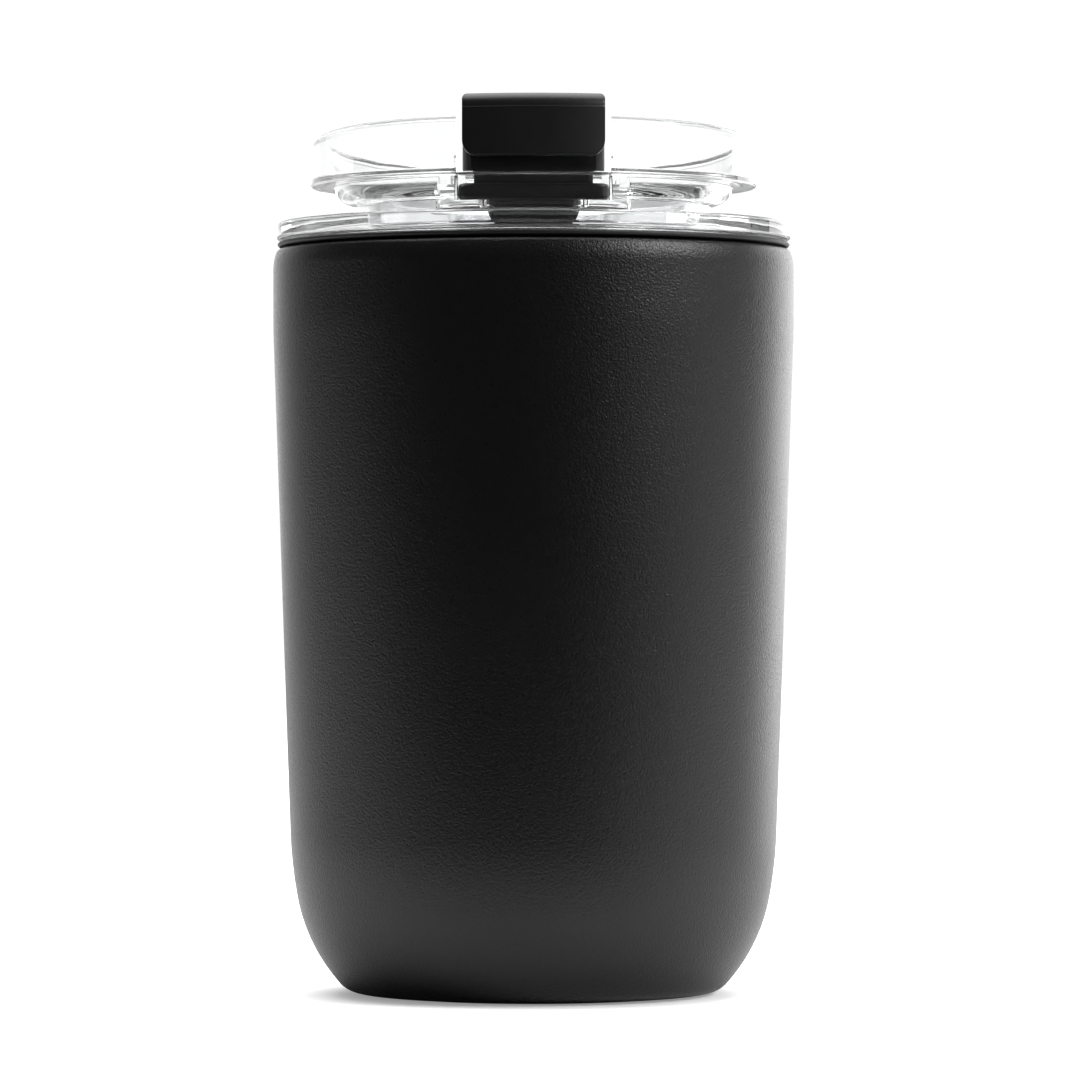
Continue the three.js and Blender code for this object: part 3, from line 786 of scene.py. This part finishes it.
def slanted_ring():
    """Ring and well, with the rim lower at the back: its upper edge moves down and keeps its rounds."""
    piece = revolve("lid_ring", well_and_ring())
    middle = (RING_BOTTOM + RING_TOP) / 2 * MM
    for vertex in piece.data.vertices:
        part = (vertex.co.y / (RING_RADIUS * MM) + 1) / 2
        if vertex.co.z > middle:
            vertex.co.z -= RIM_DROP * MM * part * part * (3 - 2 * part)
    return piece


def lid_top():
    """Clear drinking ring and well, with the front notch, the sip pocket and the hinge lugs."""
    piece = slanted_ring()
    combine(piece, pocket_block(), "UNION")
    flat_radius = WELL_INNER - 2.3
    flat = arc(0, 0, flat_radius, 0, 357.5, 143)
    combine(piece, prism("flat", flat, WELL_FLOOR, RING_TOP), "DIFFERENCE")
    space = front_sector(POCKET_HALF, POCKET_FRONT, POCKET_BACK, 1.0)
    combine(piece, prism("space", space, POCKET_FLOOR, RING_TOP + 1), "DIFFERENCE")
    front = -RING_RADIUS - 1
    notch = [(-POCKET_HALF, front), (POCKET_HALF, front), (POCKET_HALF, SIP_Y), (-POCKET_HALF, SIP_Y)]
    combine(piece, prism("notch", notch, RING_BOTTOM + NOTCH_SILL, RING_TOP + 1), "DIFFERENCE")
    hole = rounded_rectangle(SIP_HALF, SIP_ROUND, SIP_ROUND - 0.01, SIP_Y)
    combine(piece, prism("hole", hole, SPIGOT_BOTTOM - 1, WELL_FLOOR), "DIFFERENCE")
    vent = arc(0, VENT_Y, VENT_RADIUS, 0, 345, 23)
    combine(piece, prism("vent", vent, SPIGOT_BOTTOM - 1, WELL_FLOOR), "DIFFERENCE")
    inner = BARREL_HALF + GAP
    for low in (-inner - LUG_THICK, inner):
        combine(piece, hinge_lug(low, low + LUG_THICK), "UNION")
    return smooth(softened(piece, 0.3), 40)


place(lid_base(), "lid", "lid_base", CLEAR)
place(lid_top(), "lid", "lid_top", CLEAR)
place(lid_seal(), "lid", "lid_seal", RUBBER)


def hinge_pin():
    """Steel pin along x, with rounded ends."""
    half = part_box("hinge_pin")[1].x / MM
    corners = [(0, -half), (PIN_RADIUS, -half, 0.25), (PIN_RADIUS, half, 0.25), (0, half)]
    pin = revolve("pin", filleted(corners, closed=False, steps=4), 48)
    turn = Matrix.Translation(Vector(PIVOT)) @ Matrix.Rotation(math.pi / 2, 4, "Y")
    pin.data.transform(turn)
    return smooth(pin, 50)


place(hinge_pin(), "lid", "hinge_pin", STEEL)


# ---------------------------------------------------------------- flip lever


def lever_top(y):
    """Height of the lever's top face."""
    if y <= RAMP_FROM:
        return TAB_TOP
    fall = PIVOT_Z + BARREL_RADIUS - TAB_TOP
    return TAB_TOP + fall * (y - RAMP_FROM) / (PIVOT_Y - RAMP_FROM)


def lever_head():
    """Front tab and plate: a turned cap cut to the tab's rounded outline, with its parting line."""
    under = TAB_TOP - PLATE
    inner = TAB_RADIUS - TAB_THICK
    part = TAB_TOP - PARTING_DEPTH
    corners = [
        (0, under),
        (inner, under, 0.5),
        (inner, TAB_BOTTOM, 0.4),
        (TAB_RADIUS, TAB_BOTTOM, 0.5),
        (TAB_RADIUS, part - PARTING_STEP),
        (TAB_RADIUS + 0.05, part),
        (TAB_RADIUS, part + PARTING_STEP),
        (TAB_RADIUS, TAB_TOP, 1.9),
        (0, TAB_TOP),
    ]
    cap = revolve("lever", filleted(corners, closed=False, steps=8), 360)
    outline = [
        (TAB_HALF, TAB_BOTTOM, TAB_CORNER_LOW),
        (TAB_HALF, TAB_TOP, TAB_CORNER_HIGH),
        (-TAB_HALF, TAB_TOP, TAB_CORNER_HIGH),
        (-TAB_HALF, TAB_BOTTOM, TAB_CORNER_LOW),
    ]
    front = filleted(outline, steps=8)
    return combine(cap, prism("front", front, -TAB_RADIUS - 1, RAMP_FROM, "Y"), "INTERSECT")


def lever_slab(name, start, stop, half):
    """Part of the sloping plate between two places along y."""
    outline = [
        (start, lever_top(start) - PLATE),
        (stop, lever_top(stop) - PLATE),
        (stop, lever_top(stop)),
        (start, lever_top(start)),
    ]
    return prism(name, outline, -half, half, "X")


def lever_boss():
    """Box-like boss under the plate, open below, that holds the stopper's neck."""
    plan = rounded_rectangle(TAB_HALF, BOSS_HALF, BOSS_CORNER, BOSS_MIDDLE)
    boss = prism("boss", plan, BOSS_BOTTOM, TAB_TOP)
    inner_x = TAB_HALF - BOSS_WALL
    inner = rounded_rectangle(inner_x, BOSS_HALF - BOSS_WALL, NECK_CORNER, BOSS_MIDDLE)
    combine(boss, prism("inner", inner, BOSS_BOTTOM - 1, TAB_TOP + 1), "DIFFERENCE")
    under = [
        (BOSS_FRONT, BOSS_BOTTOM),
        (BOSS_BACK, BOSS_BOTTOM + BOSS_RISE),
        (BOSS_BACK + 1, BOSS_BOTTOM + BOSS_RISE),
        (BOSS_BACK + 1, lever_top(BOSS_BACK + 1) - PLATE / 2),
        (RAMP_FROM, TAB_TOP - PLATE / 2),
        (BOSS_FRONT, TAB_TOP - PLATE / 2),
    ]
    return combine(boss, prism("under", under, -TAB_HALF - 1, TAB_HALF + 1, "X"), "INTERSECT")


def flip_lever():
    """Tab, plate, boss, barrel and web in one moulding."""
    lever = lever_head()
    combine(lever, lever_slab("wide", RAMP_FROM - 0.02, BOSS_BACK, TAB_HALF), "UNION")
    combine(lever, lever_slab("narrow", BOSS_BACK - 0.02, PIVOT_Y, BARREL_HALF), "UNION")
    combine(lever, lever_boss(), "UNION")
    stud = rounded_rectangle(STUD_HALF_X, STUD_HALF_Y, 0.5, SIP_Y)
    combine(lever, prism("stud", stud, STUD_BOTTOM, lever_top(SIP_Y) - 1.5), "UNION")
    round_bar = arc(PIVOT_Y, PIVOT_Z, BARREL_RADIUS, 0, 352.5, 47)
    combine(lever, prism("barrel", round_bar, -BARREL_HALF, BARREL_HALF, "X"), "UNION")
    web = [
        (BOSS_BACK - WEB_SUNK, BOSS_BOTTOM + BOSS_RISE),
        (PIVOT_Y, PIVOT_Z - WEB_HALF_HEIGHT),
        (PIVOT_Y, PIVOT_Z + WEB_HALF_HEIGHT),
        (BOSS_BACK - WEB_SUNK, lever_top(BOSS_BACK) - 1),
    ]
    combine(lever, prism("web", web, -WEB_HALF, WEB_HALF, "X"), "UNION")
    combine(lever, pin_bore(-BARREL_HALF - 1, BARREL_HALF + 1), "DIFFERENCE")
    return smooth(softened(lever, 0.3, segments=3), 40)


def sip_plug():
    """Silicone stopper: neck, wide flange with a rounded rim, and a tip that tapers to the back."""
    neck_x = TAB_HALF - BOSS_WALL - GAP
    neck_y = BOSS_HALF - BOSS_WALL - GAP
    flange_x = POCKET_HALF - GAP
    under = POCKET_FLOOR + GAP

    def neck(height, inset, corner=NECK_CORNER):
        return (height, neck_x - inset, neck_y - inset, corner, BOSS_MIDDLE)

    def flange(height, inset, corner):
        return (height, flange_x - inset, BOSS_HALF - inset, corner, BOSS_MIDDLE)

    sections = [
        neck(NECK_TOP, 0.4, 0.6),
        neck(NECK_TOP - 0.2, 0.1),
        neck(NECK_TOP - 0.4, 0),
        neck(STOPPER_TOP + 0.9, 0),
        neck(STOPPER_TOP + 0.2, 0),
        neck(STOPPER_TOP, -0.2, 1.0),
        flange(STOPPER_TOP, 0.7, 1.6),
        flange(STOPPER_TOP - 0.15, 0.25, 1.9),
        flange(STOPPER_TOP - 0.5, 0, 2.0),
        flange(under + 0.5, 0, 2.0),
        flange(under + 0.15, 0.25, 1.9),
        flange(under, 0.7, 1.6),
    ]
    tip_x = SIP_HALF - GAP
    tip_y = SIP_ROUND - GAP
    taper_x = 1.6
    taper_y = 0.5  # part of the width lost at the end
    lean = 0.9  # the back stays nearly straight
    rounding_from = 0.85
    for down in (0, 0.12, 0.35, 0.6, rounding_from, 0.96, 1):
        end = max(0, down - rounding_from) / (1 - rounding_from)
        rounding = 0.35 * end ** 2
        height = under - (under - POCKET_FLOOR + TIP_DEPTH) * down
        half_x = tip_x - taper_x * down - rounding
        half_y = tip_y * (1 - taper_y * down) - rounding
        centre = SIP_Y + tip_y * taper_y * down * lean
        sections.append((height, half_x, half_y, half_y - 0.05, centre))
    plug = loft("stopper", sections)
    socket = rounded_rectangle(STUD_HALF_X + GAP, STUD_HALF_Y + GAP, 0.6, SIP_Y)
    combine(plug, prism("socket", socket, STUD_BOTTOM - GAP, NECK_TOP + 1.4), "DIFFERENCE")
    return smooth(plug, 40)


place(flip_lever(), "lever", "flip_lever", BLACK)
place(sip_plug(), "lever", "sip_plug", RUBBER)


# ---------------------------------------------------------------- studio


def blend(nodes, links, value, start, stop, low, high, smooth_step=False):
    """Maps start..stop of a value to low..high, and holds the ends."""
    node = nodes.new("ShaderNodeMapRange")
    node.interpolation_type = "SMOOTHSTEP" if smooth_step else "LINEAR"
    for name, number in (("From Min", start), ("From Max", stop), ("To Min", low), ("To Max", high)):
        node.inputs[name].default_value = number
    links.new(value, node.inputs["Value"])
    return node.outputs["Result"]


def choose(nodes, links, factor, off, on):
    """One value for one kind of ray and another for the rest."""
    node = nodes.new("ShaderNodeMix")
    node.data_type = "FLOAT"
    links.new(factor, node.inputs["Factor"])
    for name, value in (("A", off), ("B", on)):
        if isinstance(value, (int, float)):
            node.inputs[name].default_value = value
        else:
            links.new(value, node.inputs[name])
    return node.outputs["Result"]


def calculated(nodes, links, operation, first, second=0.0):
    node = nodes.new("ShaderNodeMath")
    node.operation = operation
    for socket, value in zip(node.inputs, (first, second)):
        if isinstance(value, (int, float)):
            socket.default_value = value
        else:
            links.new(value, socket)
    return node.outputs[0]


def seen_through(nodes, links, path):
    """One for rays that end behind clear plastic, without a reflection off another piece."""
    unreflected = calculated(nodes, links, "LESS_THAN", path["Glossy Depth"], 0.5)
    one_piece = calculated(nodes, links, "LESS_THAN", path["Transmission Depth"], 2.5)
    unscattered = calculated(nodes, links, "LESS_THAN", path["Diffuse Depth"], 0.5)
    clear = calculated(nodes, links, "MAXIMUM", unreflected, one_piece)
    clear = calculated(nodes, links, "MULTIPLY", clear, unscattered)
    return calculated(nodes, links, "MULTIPLY", clear, path["Is Transmission Ray"])


def floor():
    """White to the camera all over, so that it runs into the background.

    Reflections find it dark in front of the mug: painted shade in its colour. To the camera it glows,
    as painted light, weakly near the mug and fully a few centimetres out.
    """
    bm = bmesh.new()
    bmesh.ops.create_grid(bm, x_segments=24, y_segments=24, size=3.0)
    ground = new_object("floor", bm)
    material = bpy.data.materials.new("floor")
    material.use_nodes = True
    nodes = material.node_tree.nodes
    links = material.node_tree.links
    surface = nodes["Principled BSDF"]
    surface.inputs["Roughness"].default_value = 0.8
    surface.inputs["Specular IOR Level"].default_value = 0.2
    surface.inputs["Emission Color"].default_value = (1, 1, 1, 1)
    where = nodes.new("ShaderNodeTexCoord").outputs["Object"]
    split = nodes.new("ShaderNodeSeparateXYZ")
    links.new(where, split.inputs[0])
    reach = nodes.new("ShaderNodeVectorMath")
    reach.operation = "LENGTH"
    links.new(where, reach.inputs[0])
    path = nodes.new("ShaderNodeLightPath").outputs
    # painted shade: for reflections the floor's colour goes dark in front of the mug
    white = blend(nodes, links, split.outputs["Y"], -0.17, -0.07, 0.03, 0.92)
    white = choose(nodes, links, seen_through(nodes, links, path), white, 0.92)
    white = choose(nodes, links, path["Is Camera Ray"], white, 0.88)
    links.new(white, surface.inputs["Base Color"])
    # painted light: to the camera the floor glows, weakly near the mug and fully from about 6 cm out
    painted_glow = blend(nodes, links, reach.outputs["Value"], 0.022, 0.06, 0.25, 1.0, smooth_step=True)
    painted_glow = choose(nodes, links, path["Is Camera Ray"], 0.0, painted_glow)
    links.new(painted_glow, surface.inputs["Emission Strength"])
    ground.data.materials.append(material)


def studio_world():
    """White all round for the eye and, near the level, through clear plastic.

    In reflections it is white behind the mug and dark in front.
    """
    world = bpy.data.worlds.new("studio")
    bpy.context.scene.world = world
    world.use_nodes = True
    nodes = world.node_tree.nodes
    links = world.node_tree.links
    background = nodes["Background"]
    background.inputs["Color"].default_value = (1, 1, 1, 1)
    split = nodes.new("ShaderNodeSeparateXYZ")
    links.new(nodes.new("ShaderNodeTexCoord").outputs["Generated"], split.inputs[0])
    ahead = blend(nodes, links, split.outputs["Y"], 0.0, 1.0, 0.0, 1.0)
    rear = calculated(nodes, links, "POWER", ahead, 6)
    behind = blend(nodes, links, rear, 0.0, 1.0, 0.09, 2.4)
    tilt = calculated(nodes, links, "ABSOLUTE", split.outputs["Z"])
    level = blend(nodes, links, tilt, 0.25, 0.55, 1.1, 0.3)
    away = blend(nodes, links, split.outputs["Y"], -0.6, -0.25, 0.09, 1.1)
    through = calculated(nodes, links, "MINIMUM", level, away)
    path = nodes.new("ShaderNodeLightPath").outputs
    light = choose(nodes, links, seen_through(nodes, links, path), behind, through)
    light = choose(nodes, links, path["Is Camera Ray"], light, 1.05)
    links.new(light, background.inputs["Strength"])


def softbox(name, spot, aim, width, height, power):
    light = bpy.data.lights.new(name, "AREA")
    light.shape = "RECTANGLE"
    light.size = width
    light.size_y = height
    light.energy = power
    box = bpy.data.objects.new(name, light)
    bpy.context.scene.collection.objects.link(box)
    box.location = spot
    box.rotation_euler = (Vector(aim) - Vector(spot)).to_track_quat("-Z", "Y").to_euler()
    box.visible_camera = False


def camera():
    """Level with the middle of the cup, aimed a little above it, through a long lens."""
    data = bpy.data.cameras.new("camera")
    data.sensor_width = 36
    data.lens = 199
    data.clip_start = 0.05
    data.clip_end = 20
    eye = bpy.data.objects.new("camera", data)
    bpy.context.scene.collection.objects.link(eye)
    distance = 0.95
    eye_height = 67.9
    aim_height = 72.03
    aim_right = 1.03
    spot = Vector((0, -distance, eye_height * MM))
    aim = Vector((aim_right * MM, 0, aim_height * MM))
    eye.location = spot
    eye.rotation_euler = (aim - spot).to_track_quat("-Z", "Y").to_euler()
    bpy.context.scene.camera = eye


floor()
studio_world()
softbox("right_softbox", (0.86, -0.23, 0.25), (0, 0, 0.07), 1.3, 0.6, 1.4)
softbox("high_softbox", (0.74, -0.36, 0.58), (0, 0, 0.1), 0.5, 0.2, 5.2)
softbox("rim_softbox", (0.52, 0.68, 0.12), (0, 0, 0.07), 0.45, 0.7, 2.2)
softbox("top_softbox", (0, 0.3, 1.2), (0, 0.1, 0), 1.4, 1.4, 22)
camera()
bpy.context.scene.view_settings.view_transform = "Standard"
cycles = bpy.context.scene.cycles
cycles.max_bounces = 24
cycles.glossy_bounces = 16
cycles.transmission_bounces = 24
